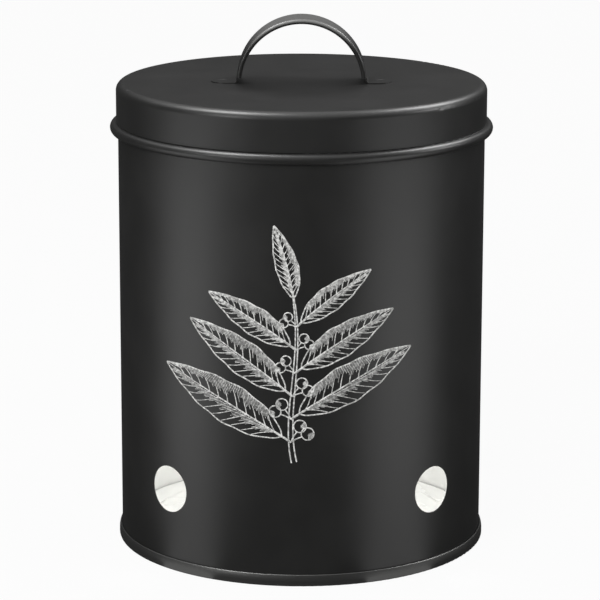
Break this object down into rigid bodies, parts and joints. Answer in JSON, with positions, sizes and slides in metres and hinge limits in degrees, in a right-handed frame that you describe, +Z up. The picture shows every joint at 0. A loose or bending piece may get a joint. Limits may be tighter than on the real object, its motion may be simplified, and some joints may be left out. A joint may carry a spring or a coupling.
{
  "type": "onion storage box",
  "caption": "Round sheet-steel storage canister for onions, with air vents near a seamed base and a lift-off lid with a strap handle.",
  "frame": {"origin": "centre of the base, on the table that the bottom seam stands on", "axes": "+Z up along the drum's axis, -Y towards the printed front, X along the handle"},
  "size_m": [0.1774, 0.1774, 0.2465],
  "materials": {
    "body_coat": "satin charcoal powder coat outside, white enamel inside",
    "base_coat": "satin charcoal powder coat outside, white enamel inside",
    "lid_coat": "satin charcoal powder coat outside, white enamel inside",
    "handle_coat": "satin charcoal powder coat",
    "weld_coat": "satin charcoal powder coat"
  },
  "bodies": {
    "canister": {"body_shell": "body_coat", "base_plate": "base_coat"},
    "lid": {"lid_cap": "lid_coat", "handle_strap": "handle_coat", "spot_welds": "weld_coat"}
  },
  "joints": [
    {"name": "lid_lift", "type": "slide", "parent": "canister", "child": "lid", "axis": [0, 0, 1], "range_m": [0, 0.12]}
  ]
}
